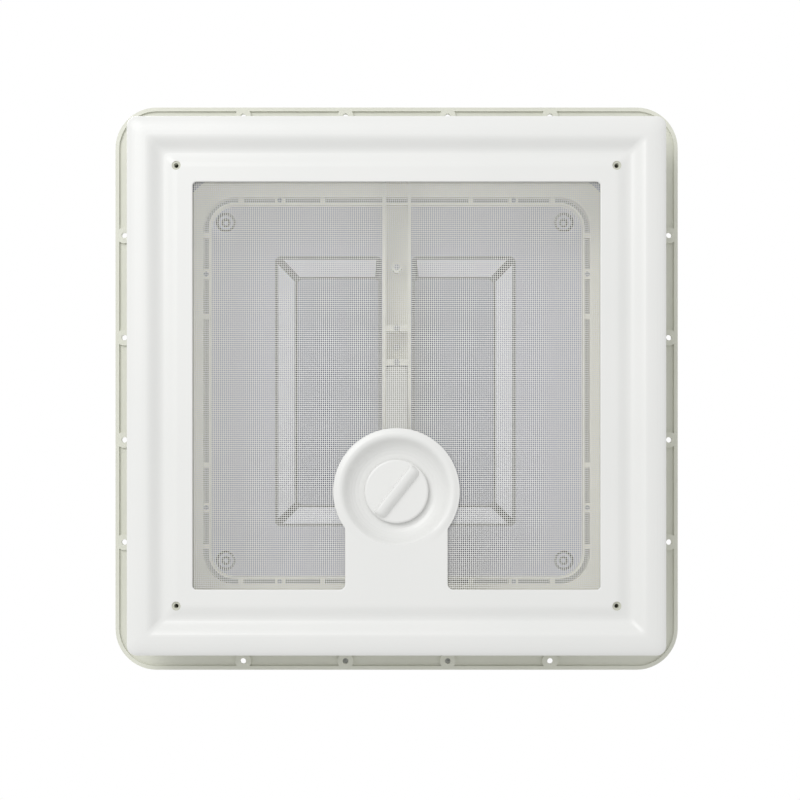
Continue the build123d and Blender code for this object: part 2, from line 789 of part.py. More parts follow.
def tooth_outline(middle, x, shift):
    """One tooth's outline at x, turned by shift degrees about the axle."""
    slope = math.tan(math.radians(flank_angle))
    corners = []
    for radius, way in ((gear_root - 0.4, -1), (gear_tip, -1), (gear_tip, 1), (gear_root - 0.4, 1)):
        half = tooth_thick / 2 - (radius - gear_radius) * slope
        angle = middle + shift + way * math.degrees(half / gear_radius)
        y, z = sector_point(radius, angle)
        corners.append(Vector(x, y, z))
    return make_face(Polyline(*corners, close=True))


def gear_tooth(middle):
    """A tooth that follows the worm's lead across the gear's width."""
    lead = tooth_pitch / (2 * math.pi * worm_radius)
    skew = math.degrees(gear_half * lead / gear_radius)
    ends = [tooth_outline(middle, -gear_half, -skew), tooth_outline(middle, gear_half, skew)]
    return loft(ends, ruled=True)


def gear_sector():
    """The part of a gear that the worm drives, with its hub on the axle."""
    travel = lid_open * arm_per_lid
    last = math.ceil(travel / tooth_step) + 1
    teeth = [gear_tooth(step * tooth_step) for step in range(-1, last + 1)]
    first, end = -1.4 * tooth_step, (last + 0.4) * tooth_step
    rim = [sector_point(gear_root, first + (end - first) * step / 2) for step in range(3)]
    start, middle, stop = yz(rim)
    hub = Vector(0, axle_y, axle_z)
    web = make_face(Wire([Line(hub, start), ThreePointArc(start, middle, stop), Line(stop, hub)]))
    body = fuse([along_x(web, -gear_half, gear_half)] + teeth)
    body += bar(arm_hub, axle_y, axle_z, -gear_half, gear_half)
    return body - bar(axle_radius, axle_y, axle_z, -BIG, BIG)


def lift_arm():
    """A fork that straddles the gearbox, and a shank that nearly fills the rail at its tip."""
    front = -crotch - crotch_web
    tip = -arm_length - tip_reach
    shank_half = rail_inner - shank_gap
    parts = []
    for side in SIDES:
        near, far = sorted((side * cheek_in, side * cheek_out))
        cheek = block(near, far, front, 0, -cheek_tall / 2, cheek_tall / 2)
        parts.append(cheek + bar(arm_hub, 0, 0, near, far))
    parts.append(block(-cheek_out, cheek_out, front, -crotch, -web_tall / 2, web_tall / 2))
    cap = block(-cheek_out - 1, cheek_out + 1, front - 1, -crotch, -cheek_tall, -web_tall / 2)
    cap += block(-cheek_out - 1, cheek_out + 1, front - 1, -crotch, web_tall / 2, cheek_tall)
    shank = block(-shank_half, shank_half, tip, -crotch, -shank_tall / 2, shank_tall / 2)
    shank = fillet(shank.edges().filter_by(Axis.Z).sort_by(Axis.Y)[:2], tip_round)
    deep = shank_tall / 2 - shank_flange
    groove = block(shank_half - shank_flange, BIG, -arm_length + 2 * tip_reach, front - shank_flange, -deep, deep)
    body = fuse(parts) - cap
    body = fuse([body, cut(shank, [groove, mirror(groove, about=Plane.YZ)])])
    body = cut(body, [bar(axle_radius, 0, 0, -BIG, BIG), bar(roller_pin, -arm_length, 0, -BIG, BIG)])
    return Pos(0, axle_y, axle_z) * Rot(X=-arm_rest) * body


def arm_axle():
    return bar(axle_radius, axle_y, axle_z, -axle_end, axle_end)


def arm_axle_clips():
    """A push-on ring at each end of the axle."""
    ring = pipe(axle_radius + clip_wall, axle_radius, axle_y, axle_z, cheek_out + 0.1, cheek_out + 0.1 + clip_thick)
    ring -= block(0, BIG, axle_y - 0.8, axle_y + 0.8, axle_z, BIG)
    return [ring, mirror(ring, about=Plane.YZ)]


def roller_pin_part():
    """The pin through the arm's eye, with a low head outside each roller."""
    reach = rail_inner + roller_width
    body = bar(roller_pin, roller_y, roller_z, -reach, reach)
    for side in SIDES:
        near, far = sorted((side * reach, side * (reach + 0.7)))
        body += bar(roller_pin + 0.9, roller_y, roller_z, near, far)
    return body


def roller(side):
    near, far = sorted((side * (rail_inner + 0.1), side * (rail_inner + roller_width - 0.1)))
    return pipe(roller_radius, roller_pin + run_gap, roller_y, roller_z, near, far)


# ---------------------------------------------------------------- files
def main():
    os.makedirs("parts", exist_ok=True)
    save("base_frame", base_frame())
    save("curb_seal", curb_seal())
    save("trim_ring", trim_ring())
    save("insect_screen", insect_screen())
    save("lid_dome", lid_dome())
    save("lid_frame", lid_frame())
    save("lid_frame_screws", lid_frame_screws())
    save("lid_rail", lid_rail())
    save("rail_screws", rail_screws())
    save("hinge_arm_screws", hinge_arm_screws())
    save("knob", knob())
    save("worm_shaft", worm_shaft())
    save("gearbox_joint_screws", gearbox_joint_screws())
    save("gearbox_mount_screws", gearbox_mount_screws())
    save("shaft_bush_lower", shaft_bush_lower())
    save("shaft_bush_upper", shaft_bush_upper())
    save("thrust_washer", thrust_washer())
    save("gear_sector", gear_sector())
    save("lift_arm", lift_arm())
    save("arm_axle", arm_axle())
    save("arm_axle_clips", arm_axle_clips())
    save("roller_pin", roller_pin_part())
    for side, name in ((-1, "left"), (1, "right")):
        pin, clip = hinge_pin_set(side)
        save(f"hinge_arm_{name}", hinge_arm(side))
        save(f"hinge_pin_{name}", pin)
        save(f"hinge_clip_{name}", clip)
        save(f"gearbox_{name}", gearbox_half(side))
        save(f"axle_bush_{name}", axle_bush_part(side))
        save(f"roller_{name}", roller(side))


main()
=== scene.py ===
import math

import bmesh
import bpy
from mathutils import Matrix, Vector


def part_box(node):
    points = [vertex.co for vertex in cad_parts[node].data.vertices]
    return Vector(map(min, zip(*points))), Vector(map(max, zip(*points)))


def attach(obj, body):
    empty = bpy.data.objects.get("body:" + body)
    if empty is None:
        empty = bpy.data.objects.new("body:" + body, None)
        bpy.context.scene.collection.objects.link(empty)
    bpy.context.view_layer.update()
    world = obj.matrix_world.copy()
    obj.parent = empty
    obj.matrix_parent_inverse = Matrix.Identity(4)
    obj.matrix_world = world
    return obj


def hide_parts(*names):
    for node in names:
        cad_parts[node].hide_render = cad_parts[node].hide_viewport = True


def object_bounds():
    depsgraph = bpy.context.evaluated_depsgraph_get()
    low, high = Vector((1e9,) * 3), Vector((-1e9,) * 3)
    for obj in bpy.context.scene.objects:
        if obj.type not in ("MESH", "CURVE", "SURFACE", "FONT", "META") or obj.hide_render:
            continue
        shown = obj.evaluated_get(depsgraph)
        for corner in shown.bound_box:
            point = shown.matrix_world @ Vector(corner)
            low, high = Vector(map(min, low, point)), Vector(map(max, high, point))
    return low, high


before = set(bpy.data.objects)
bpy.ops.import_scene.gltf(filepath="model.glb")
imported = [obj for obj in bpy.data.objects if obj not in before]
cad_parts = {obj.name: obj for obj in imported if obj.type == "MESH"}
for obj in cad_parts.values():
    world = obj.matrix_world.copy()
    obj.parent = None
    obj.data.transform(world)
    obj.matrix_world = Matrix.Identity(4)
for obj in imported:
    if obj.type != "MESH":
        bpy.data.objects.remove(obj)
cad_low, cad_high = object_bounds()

MM = 0.001

# ---------------------------------------------------------------- sizes read from the frame (mm)
trim_low, trim_high = (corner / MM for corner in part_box("trim_ring"))
screen_low, screen_high = (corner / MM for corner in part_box("insect_screen"))
dome_low, dome_high = (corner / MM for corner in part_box("lid_dome"))
knob_low, knob_high = (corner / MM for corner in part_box("knob"))
seal_low, seal_high = (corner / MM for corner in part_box("curb_seal"))
trim_half = trim_high.x
dome_half = dome_high.x
knob_centre = (0.0, (knob_low.y + knob_high.y) / 2)

# The trim's face, as its distance from the middle line.
crown = trim_low.z
flat_face = crown + 3.5
back_face = screen_low.z
ceiling_edge = crown + 12.0
window_half = 158.4
window_corner = 3.5
tongue_half = 39.7
cup_outer = 49.2
cup_floor = crown + 13.5
screw_place = 171.0


# ---------------------------------------------------------------- colour and material nodes
def linear(hex_colour):
    """An sRGB hex colour as the linear colour that a shader takes."""
    channels = [int(hex_colour[i:i + 2], 16) / 255 for i in (0, 2, 4)]
    return [c / 12.92 if c <= 0.04045 else ((c + 0.055) / 1.055) ** 2.4 for c in channels] + [1.0]


def add(tree, kind, inputs=None, **settings):
    """Adds a node with its settings; an input is a value, or the output that feeds it."""
    made = tree.nodes.new(kind)
    for name, value in settings.items():
        setattr(made, name, value)
    for name, value in (inputs or {}).items():
        if isinstance(value, bpy.types.NodeSocket):
            tree.links.new(value, made.inputs[name])
        else:
            made.inputs[name].default_value = value
    return made


def new_material(name):
    """An empty material, with its node tree and its object coordinates in metres."""
    material = bpy.data.materials.new(name)
    material.use_nodes = True
    tree = material.node_tree
    tree.nodes.clear()
    place = add(tree, "ShaderNodeTexCoord").outputs["Object"]
    return material, tree, place


def finish_material(tree, shader, bump=None):
    """Joins the shader to the output."""
    if bump is not None:
        tree.links.new(bump, shader.inputs["Normal"])
    add(tree, "ShaderNodeOutputMaterial", {"Surface": shader.outputs[0]})


def per_metre(size_mm):
    """A pattern's scale, from the size in millimetres of one of its cells."""
    return 1 / (size_mm * MM)


def moulded_plastic(name, colour, shade, gloss, grain_mm=1.4, grain_deep=0.010, flow_mm=70.0, through=0.0):
    """Moulded plastic: an even colour with faint cloudy flow, a soft sheen, a fine eggshell grain, and daylight through it."""
    material, tree, place = new_material(name)
    flow = add(tree, "ShaderNodeTexNoise", {"Vector": place, "Scale": per_metre(flow_mm), "Detail": 3.0})
    tone = add(tree, "ShaderNodeMix", {"Factor": flow.outputs["Fac"], 6: linear(colour), 7: linear(shade)},
               data_type="RGBA")
    grain = add(tree, "ShaderNodeTexNoise", {"Vector": place, "Scale": per_metre(grain_mm), "Detail": 4.0})
    sheen = add(tree, "ShaderNodeMapRange", {"Value": grain.outputs["Fac"], "From Min": 0.3, "From Max": 0.7,
                                             "To Min": gloss - 0.04, "To Max": gloss + 0.05})
    relief = add(tree, "ShaderNodeBump", {"Height": grain.outputs["Fac"], "Strength": 0.35,
                                          "Distance": grain_deep * MM})
    shader = add(tree, "ShaderNodeBsdfPrincipled", {"Base Color": tone.outputs[2], "Roughness": sheen.outputs[0],
                                                    "IOR": 1.53})
    if not through:
        finish_material(tree, shader, relief.outputs[0])
        return material
    tree.links.new(relief.outputs[0], shader.inputs["Normal"])
    lit = add(tree, "ShaderNodeBsdfTranslucent", {"Color": tone.outputs[2]})
    finish_material(tree, add(tree, "ShaderNodeMixShader", {0: through, 1: shader.outputs[0], 2: lit.outputs[0]}))
    return material


def plated_steel(name, colour, gloss, grain_mm=0.5):
    """Zinc-plated or machined steel: a cool metal with short drawn streaks and patchy gloss."""
    material, tree, place = new_material(name)
    stretch = add(tree, "ShaderNodeMapping", {"Vector": place, "Scale": (1.0, 1.0, 0.12)})
    streak = add(tree, "ShaderNodeTexNoise", {"Vector": stretch.outputs[0], "Scale": per_metre(grain_mm), "Detail": 5.0})
    patch = add(tree, "ShaderNodeTexNoise", {"Vector": place, "Scale": per_metre(3.0), "Detail": 2.0})
    tone = add(tree, "ShaderNodeMix", {"Factor": patch.outputs["Fac"], 6: linear(colour), 7: linear("8d8f8e")},
               data_type="RGBA")
    sheen = add(tree, "ShaderNodeMapRange", {"Value": streak.outputs["Fac"], "To Min": gloss - 0.08,
                                             "To Max": gloss + 0.14})
    relief = add(tree, "ShaderNodeBump", {"Height": streak.outputs["Fac"], "Strength": 0.3, "Distance": 0.02 * MM})
    shader = add(tree, "ShaderNodeBsdfPrincipled", {"Base Color": tone.outputs[2], "Metallic": 1.0,
                                                    "Roughness": sheen.outputs[0]})
    finish_material(tree, shader, relief.outputs[0])
    return material


def closed_cell_foam():
    """Black foam rubber: tiny open cells on its cut skin, so it is dull and almost black."""
    material, tree, place = new_material("closed_cell_foam")
    cells = add(tree, "ShaderNodeTexVoronoi", {"Vector": place, "Scale": per_metre(0.9)})
    tone = add(tree, "ShaderNodeMix", {"Factor": cells.outputs["Distance"], 6: linear("171717"), 7: linear("2b2b2a")},
               data_type="RGBA")
    relief = add(tree, "ShaderNodeBump", {"Height": cells.outputs["Distance"], "Strength": 0.8, "Distance": 0.25 * MM})
    shader = add(tree, "ShaderNodeBsdfPrincipled", {"Base Color": tone.outputs[2], "Roughness": 0.9, "IOR": 1.5})
    finish_material(tree, shader, relief.outputs[0])
    return material


def coated_yarn():
    """Vinyl-coated glass yarn: pale grey threads with a slight twist that catches the light."""
    material, tree, place = new_material("coated_glass_yarn")
    twist = add(tree, "ShaderNodeTexNoise", {"Vector": place, "Scale": per_metre(0.8), "Detail": 2.0})
    tone = add(tree, "ShaderNodeMix", {"Factor": twist.outputs["Fac"], 6: linear("f2f2ee"), 7: linear("e1e1dd")},
               data_type="RGBA")
    relief = add(tree, "ShaderNodeBump", {"Height": twist.outputs["Fac"], "Strength": 0.4, "Distance": 0.05 * MM})
    shader = add(tree, "ShaderNodeBsdfPrincipled", {"Base Color": tone.outputs[2], "Roughness": 0.55, "IOR": 1.5})
    finish_material(tree, shader, relief.outputs[0])
    return material


trim_abs = moulded_plastic("gloss_moulded_abs", "e3e3e1", "dedfdd", 0.36)
# A greyed copy of the trim plastic: painted shade for the screw counterbores and holes.
recess_painted_shade_abs = moulded_plastic("moulded_abs_with_painted_shade_in_the_screw_recess", "cccdc0", "c0c1b3", 0.5)
base_abs = moulded_plastic("natural_moulded_abs", "dedfd4", "d5d6c9", 0.46, grain_mm=1.8)
# The lid's inner face, seen from below: the pale lid plastic darkened to grey-blue as painted shade.
lid_sheet_painted_shade = moulded_plastic("pale_lid_polystyrene", "b8b9cc", "acadc1", 0.42, flow_mm=45.0)
# Darker still, as painted shade for the raised panels' inner faces.
lid_panel_painted_shade = moulded_plastic("pale_lid_polystyrene_with_painted_panel_shade", "9598ad", "8b8fa3", 0.42, flow_mm=45.0)
lid_slope = moulded_plastic("pale_lid_polystyrene_on_its_slopes", "ecedf6", "e6e7f1", 0.42, flow_mm=45.0, through=0.2)
lid_skin = moulded_plastic("pale_lid_polystyrene_outside", "eff0f3", "e7e9ee", 0.36, flow_mm=60.0, through=0.2)
# Near-black painted shade for the dome's creases and steep walls.
lid_crease_painted_shade = moulded_plastic("lid_polystyrene_painted_crease_shade", "1c1e23", "181a1e", 0.42, flow_mm=30.0)
frame_abs = moulded_plastic("lid_frame_abs", "f8f6e8", "f3f1e1", 0.48, grain_mm=1.6)
# A darker copy of the lid frame's plastic: painted shade for its channel.
channel_painted_shade_abs = moulded_plastic("lid_frame_abs_with_painted_shade_in_its_channel", "b9b9ad", "afafa2", 0.55, grain_mm=1.6)
rail_abs = moulded_plastic("rail_abs", "f8f7ea", "f3f2e4", 0.45, through=0.1)
case_abs = moulded_plastic("gearbox_abs", "e2e2de", "dadad5", 0.50, grain_mm=1.6, grain_deep=0.02)
arm_nylon = moulded_plastic("glass_filled_nylon", "c6c6c0", "bcbcb4", 0.52, grain_mm=1.1, grain_deep=0.02)
gear_nylon = moulded_plastic("natural_nylon", "ece7d8", "e5dfcd", 0.38, grain_mm=2.0, grain_deep=0.005)
hinge_metal = plated_steel("satin_cast_aluminium", "c6c7c6", 0.42, grain_mm=1.2)
steel = plated_steel("zinc_plated_steel", "c2c4c3", 0.30)
shaft_steel = plated_steel("machined_steel", "b3b4b4", 0.26, grain_mm=0.35)
foam = closed_cell_foam()
yarn = coated_yarn()

NODE_MATERIALS = {
    base_abs: ["base_frame"],
    frame_abs: ["lid_frame"],
    rail_abs: ["lid_rail"],
    case_abs: ["gearbox_left", "gearbox_right"],
    arm_nylon: ["lift_arm"],
    gear_nylon: ["gear_sector", "shaft_bush_lower", "shaft_bush_upper", "axle_bush_left", "axle_bush_right",
                 "roller_left", "roller_right"],
    hinge_metal: ["hinge_arm_left", "hinge_arm_right"],
    shaft_steel: ["worm_shaft", "arm_axle"],
    steel: ["gearbox_joint_screws", "gearbox_mount_screws", "lid_frame_screws", "rail_screws", "hinge_arm_screws",
            "hinge_pin_left", "hinge_pin_right", "hinge_clip_left", "hinge_clip_right", "arm_axle_clips",
            "roller_pin", "thrust_washer"],
}
for material, names in NODE_MATERIALS.items():
    for name in names:
        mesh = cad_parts[name].data
        mesh.materials.clear()
        mesh.materials.append(material)

# The floor of the lid frame's channel faces down, close under the frame's top, and sits in its own shade, so it gets a
# darker copy of the frame's plastic as painted shade.
frame_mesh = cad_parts["lid_frame"].data
frame_mesh.materials.append(channel_painted_shade_abs)
frame_top = max(vertex.co.z for vertex in frame_mesh.vertices)
for face in frame_mesh.polygons:
    if face.normal.z < -0.9 and face.center.z > frame_top - 3 * MM:
        face.material_index = 1


# ---------------------------------------------------------------- mesh helpers
def ring_points(half_x, half_y, corner, z, centre=(0.0, 0.0), steps=8):
    """A rounded rectangle's points (mm), anticlockwise from its +X side."""
    points = []
    for quarter, (sx, sy) in enumerate(((1, 1), (-1, 1), (-1, -1), (1, -1))):
        for step in range(steps + 1):
            turn = math.radians(90 * quarter + 90 * step / steps)
            x = centre[0] + sx * (half_x - corner) + corner * math.cos(turn)
            y = centre[1] + sy * (half_y - corner) + corner * math.sin(turn)
            points.append((x, y, z))
    return points


def circle_points(radius, z, centre, count):
    """A circle's points (mm)."""
    turns = [2 * math.pi * i / count for i in range(count)]
    return [(centre[0] + radius * math.cos(t), centre[1] + radius * math.sin(t), z) for t in turns]


def loop_of(bm, points):
    """New vertices at points given in millimetres."""
    return [bm.verts.new(Vector(p) * MM) for p in points]


def skin(bm, loops, slot=0):
    """Faces between each loop and the next, which have the same number of points."""
    for first, second in zip(loops, loops[1:]):
        for i in range(len(first)):
            j = (i + 1) % len(first)
            bm.faces.new((first[i], first[j], second[j], second[i])).material_index = slot


def loop_edges(bm, loop):
    """The edges round a loop, made where they are missing."""
    edges = []
    for i, vertex in enumerate(loop):
        other = loop[(i + 1) % len(loop)]
        edges.append(bm.edges.get((vertex, other)) or bm.edges.new((vertex, other)))
    return edges


def fill_flat(bm, loops, slot=0):
    """A flat sheet between an outer loop and the loops inside it."""
    edges = [edge for loop in loops for edge in loop_edges(bm, loop)]
    made = bmesh.ops.triangle_fill(bm, edges=edges, use_beauty=True)
    for item in made["geom"]:
        if isinstance(item, bmesh.types.BMFace):
            item.material_index, item.tag = slot, True


def make_piece(name, bm, materials, sharp_degrees=32):
    """The mesh as an object: smooth, but with crisp edges where faces meet at more than an angle."""
    bmesh.ops.recalc_face_normals(bm, faces=bm.faces)
    for face in bm.faces:
        face.smooth = not face.tag
    for edge in bm.edges:
        edge.smooth = len(edge.link_faces) == 2 and edge.calc_face_angle(0) < math.radians(sharp_degrees)
    mesh = bpy.data.meshes.new(name)
    bm.to_mesh(mesh)
    bm.free()
    for material in materials:
        mesh.materials.append(material)
    piece = bpy.data.objects.new(name, mesh)
    bpy.context.scene.collection.objects.link(piece)
    return piece


def apply_modifiers(piece):
    """Turns the piece's modifiers into mesh."""
    graph = bpy.context.evaluated_depsgraph_get()
    mesh = bpy.data.meshes.new_from_object(piece.evaluated_get(graph))
    piece.modifiers.clear()
    piece.data = mesh


def smooth_step(value):
    """0 below 0, 1 above 1, and smooth between."""
    value = min(max(value, 0.0), 1.0)
    return value * value * (3 - 2 * value)


# ---------------------------------------------------------------- interior trim
def eased(start, end, count, bow_start, bow_end):
    """Points of a smooth curve from start to end, (half, z) pairs, leaving and arriving along two directions."""
    points = []
    for i in range(1, count + 1):
        t = i / count
        h = [(1 - t) ** 3, 3 * t * (1 - t) ** 2, 3 * t * t * (1 - t), t ** 3]
        ends = (start, (start[0] + bow_start[0], start[1] + bow_start[1]),
                (end[0] - bow_end[0], end[1] - bow_end[1]), end)
        points.append(tuple(sum(w * p[axis] for w, p in zip(h, ends)) for axis in (0, 1)))
    return points


def opening_points(grow, z):
    """The window's outline: a rounded square with the tongue and the cup standing in it."""
    half, side, cup = window_half + grow, tongue_half - grow, cup_outer - grow
    cx, cy = knob_centre
    notch, neck = 5.0, 4.0
    points = []
    corners = ((1, 1), (-1, 1), (-1, -1), (1, -1))
    outline = {}
    for quarter, (sx, sy) in enumerate(corners):
        arc = []
        for step in range(7):
            turn = math.radians(90 * quarter + 15 * step)
            arc.append((sx * (half - window_corner) + window_corner * math.cos(turn),
                        sy * (half - window_corner) + window_corner * math.sin(turn), z))
        outline[quarter] = arc
    inner = []
    for step in range(7):
        turn = math.radians(90 + 15 * step)
        inner.append((side + notch + notch * math.cos(turn), half - notch + notch * math.sin(turn), z))
    reach = cup + neck
    across = side + neck
    up = math.sqrt(reach * reach - across * across)
    start = math.degrees(math.atan2(-up, -across))
    for step in range(6):
        turn = math.radians(180 + (start % 360 - 180) * step / 5)
        inner.append((cx + across + neck * math.cos(turn), cy + up + neck * math.sin(turn), z))
    top = math.degrees(math.atan2(up, across))
    right = inner
    left = [(-x, y, zz) for x, y, zz in reversed(inner)]
    sweep = []
    count = 96
    for step in range(1, count):
        turn = math.radians(top - (180 + 2 * top) * step / count)
        sweep.append((cx + cup * math.cos(turn), cy + cup * math.sin(turn), z))
    points = outline[0] + right + sweep + left + outline[1] + outline[2] + outline[3]
    return points


def make_trim():
    """One smooth moulding: the picture-frame section, the tongue, and the knob's cup."""
    bm = bmesh.new()
    shoulder, top = (trim_half, crown + 5.5), (trim_half - 15.0, crown)
    cove, flat = (trim_half - 28.5, crown + 5.8), (trim_half - 39.5, flat_face)
    face = [(trim_half, ceiling_edge), (trim_half, crown + 7.5), shoulder]
    face += eased(shoulder, top, 8, (0, -3.6), (-8.0, 0))
    face += eased(top, cove, 10, (-5.2, 0), (-5.2, 0))
    face += eased(cove, flat, 6, (-4.0, 0), (-4.0, 0))
    back = [(flat[0] + 4.5, back_face), (cove[0] + 1.5, cove[1] + 2.6), (cove[0] + 4.0, cove[1] + 1.2),
            (top[0] - 4.0, top[1] + 3.2), (top[0] + 3.0, top[1] + 2.8), (trim_half - 3.4, crown + 4.4),
            (trim_half - 2.5, crown + 7.0), (trim_half - 2.5, ceiling_edge)]

    def corner_at(half):
        return 3.5 + 4.0 * smooth_step((half - (trim_half - 16.0)) / 16.0)

    front = [loop_of(bm, ring_points(h, h, corner_at(h), z)) for h, z in face]
    behind = [loop_of(bm, ring_points(h, h, max(corner_at(h) - 1.0, 2.0), z)) for h, z in back]
    skin(bm, front)
    skin(bm, behind + [front[0]])

    edge = [loop_of(bm, opening_points(grow, z)) for grow, z in
            ((0.7, flat_face), (0.35, flat_face + 0.1), (0.1, flat_face + 0.35), (0.0, flat_face + 0.7), (0.0, back_face))]
    skin(bm, edge)

    count = 128
    rim = [(48.3, 0.0), (47.4, -0.25), (46.2, -0.7), (45.0, -1.0), (43.8, -1.0), (42.6, -0.65), (41.6, 0.0),
           (40.6, 1.0), (39.5, 2.4), (38.2, 4.1), (36.6, 5.8), (34.6, 7.4), (32.2, 8.8), (29.4, 9.7), (26.5, 10.0),
           (5.0, 10.0)]
    cup = []
    for radius, rise in rim:
        points = []
        for x, y, z in circle_points(radius, flat_face, knob_centre, count):
            away = math.degrees(math.atan2(abs(x - knob_centre[0]), y - knob_centre[1]))
            lift = smooth_step((away - 25) / 50)
            points.append((x, y, z + (rise * lift if rise < 0 else rise)))
        cup.append(loop_of(bm, points))
    under = [loop_of(bm, circle_points(radius, z, knob_centre, count))
             for radius, z in ((5.0, cup_floor + 2.5), (42.5, cup_floor + 2.5), (42.5, back_face))]
    skin(bm, cup + under)
    fill_flat(bm, [front[-1], edge[0], cup[0]])
    fill_flat(bm, [behind[0], edge[-1], under[-1]])
    piece = make_piece("interior_trim", bm, [trim_abs])

    cutter_mesh = bmesh.new()
    for sx in (-1, 1):
        for sy in (-1, 1):
            centre = (sx * screw_place, sy * screw_place)
            loops = [loop_of(cutter_mesh, circle_points(radius, z, centre, 32)) for radius, z in
                     ((3.5, crown - 5), (3.5, flat_face + 1.4), (2.0, flat_face + 1.4), (2.0, back_face + 5))]
            skin(cutter_mesh, loops)
            cutter_mesh.faces.new(loops[0])
            cutter_mesh.faces.new(loops[-1])
    # The cutter's material goes onto the walls and floors of the counterbores and holes as painted shade.
    cutter = make_piece("screw_hole_cutter", cutter_mesh, [recess_painted_shade_abs])
    hole = piece.modifiers.new("screw_holes", "BOOLEAN")
    hole.object, hole.operation, hole.solver, hole.material_mode = cutter, "DIFFERENCE", "EXACT", "TRANSFER"
    apply_modifiers(piece)
    bpy.data.objects.remove(cutter)
    return piece


def make_upstand():
    """The wall behind the trim that slides into the neck, open where the gearbox shelf passes."""
    bm = bmesh.new()
    outer, inner = 171.0, 168.5
    notch = 32.5
    high, low = trim_high.z, back_face - 0.3
    outlines = []
    for half, corner in ((outer, 24.0), (inner, 21.5)):
        points = [(x, y) for x, y, _ in ring_points(half, half, corner, 0.0)]
        start = next(i for i, (x, y) in enumerate(points) if x < 0 < y)
        points = points[start:] + points[:start]
        outlines.append([(-notch, half)] + points + [(notch, half)])
    bottom = [loop_of(bm, [(x, y, low) for x, y in line]) for line in outlines]
    top = [loop_of(bm, [(x, y, high) for x, y in line]) for line in outlines]
    count = len(bottom[0])
    for i in range(count - 1):
        for a, b in ((bottom[0], top[0]), (top[0], top[1]), (top[1], bottom[1]), (bottom[1], bottom[0])):
            bm.faces.new((a[i], a[i + 1], b[i + 1], b[i]))
    for i in (0, count - 1):
        bm.faces.new((bottom[0][i], top[0][i], top[1][i], bottom[1][i]))
    return make_piece("trim_upstand", bm, [trim_abs])


trim = make_trim()
upstand = make_upstand()
for piece in (trim, upstand):
    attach(piece, "base")
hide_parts("trim_ring")


# ---------------------------------------------------------------- insect screen
def make_screen():
    """Straight crossing threads, pressed flat where they are coated, and cut round the cup and tongue."""
    bm = bmesh.new()
    pitch, wide, thick = 1.6, 0.22, 0.09
    half = screen_high.x
    middle = (screen_low.z + screen_high.z) / 2
    clear = 44.0
    cx, cy = knob_centre
    inner = tongue_half - 4.5

    def thread(start, end, along, place, z):
        points = []
        for at in (start, end):
            for across, rise in ((wide, 0), (0, thick), (-wide, 0), (0, -thick)):
                point = (place + across, at, z + rise) if along == "y" else (at, place + across, z + rise)
                points.append(bm.verts.new(Vector(point) * MM))
        first, last = points[:4], points[4:]
        for i in range(4):
            j = (i + 1) % 4
            bm.faces.new((first[i], first[j], last[j], last[i]))

    count = int(2 * half / pitch)
    for i in range(count + 1):
        place = -half + (2 * half - count * pitch) / 2 + i * pitch
        stop = half - 0.2
        if abs(place) < clear:
            reach = math.sqrt(clear * clear - place * place)
            thread(-stop, cy - reach, "y", place, middle - 0.06)
            if abs(place) >= inner:
                thread(cy + reach, stop, "y", place, middle - 0.06)
        else:
            thread(-stop, stop, "y", place, middle - 0.06)
        gap = 0.0
        if abs(place - cy) < clear:
            gap = math.sqrt(clear * clear - (place - cy) ** 2)
        if place > cy:
            gap = max(gap, inner)
        if gap > 0:
            thread(-stop, -gap, "x", place, middle + 0.06)
            thread(gap, stop, "x", place, middle + 0.06)
        else:
            thread(-stop, stop, "x", place, middle + 0.06)
    return make_piece("screen_weave", bm, [yarn], sharp_degrees=100)


screen = make_screen()
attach(screen, "base")
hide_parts("insect_screen")


# ---------------------------------------------------------------- curb seal
def make_seal():
    """A D-shaped foam strip all round the curb."""
    bm = bmesh.new()
    outer = seal_high.x
    width = 6.0
    low, high = seal_low.z, seal_high.z
    section = [(0.0, low), (0.0, low + 1.4), (-0.5, high - 0.9), (-1.5, high - 0.2), (-3.0, high), (-4.5, high - 0.2),
               (-5.5, high - 0.9), (-width, low + 1.4), (-width, low)]
    loops = [loop_of(bm, ring_points(outer + inset, outer + inset, 12.0 + inset, z)) for inset, z in section]
    skin(bm, loops + [loops[0]])
    return make_piece("foam_seal", bm, [foam], sharp_degrees=60)


seal = make_seal()
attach(seal, "base")
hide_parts("curb_seal")


